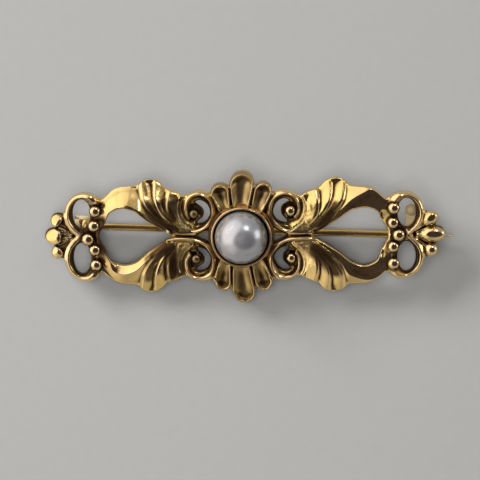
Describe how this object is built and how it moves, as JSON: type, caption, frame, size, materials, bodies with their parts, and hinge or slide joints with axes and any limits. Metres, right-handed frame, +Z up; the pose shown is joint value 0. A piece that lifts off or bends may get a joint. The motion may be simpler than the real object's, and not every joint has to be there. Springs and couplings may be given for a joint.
{
  "type": "bar brooch",
  "caption": "Openwork gold bar brooch with scrolls, leaves, palmettes and beads, a pearl in a cup, and a hinged pin that lies in a hook behind it.",
  "frame": {"origin": "on the surface that the brooch lies on, under the middle of its whole box", "axes": "+X along the brooch towards the pin's point, +Y across it towards the edge that lies higher, +Z up from the surface"},
  "size_m": [0.0512, 0.0166, 0.0084],
  "materials": {
    "gold": "polished yellow gold, darker in the hollows",
    "pin_gold": "drawn and burnished yellow gold",
    "pearl": "silver-grey nacre"
  },
  "bodies": {
    "brooch": {"frame": "gold", "pearl": "pearl", "rivet": "gold"},
    "pin": {"pin_stem": "pin_gold"}
  },
  "joints": [
    {"name": "pin_hinge", "type": "hinge", "parent": "brooch", "child": "pin", "pos_m": [-0.02051, 0.00106, 0.00117], "axis": [0.028, 0.9241, -0.381], "range_deg": [0, 110]}
  ]
}
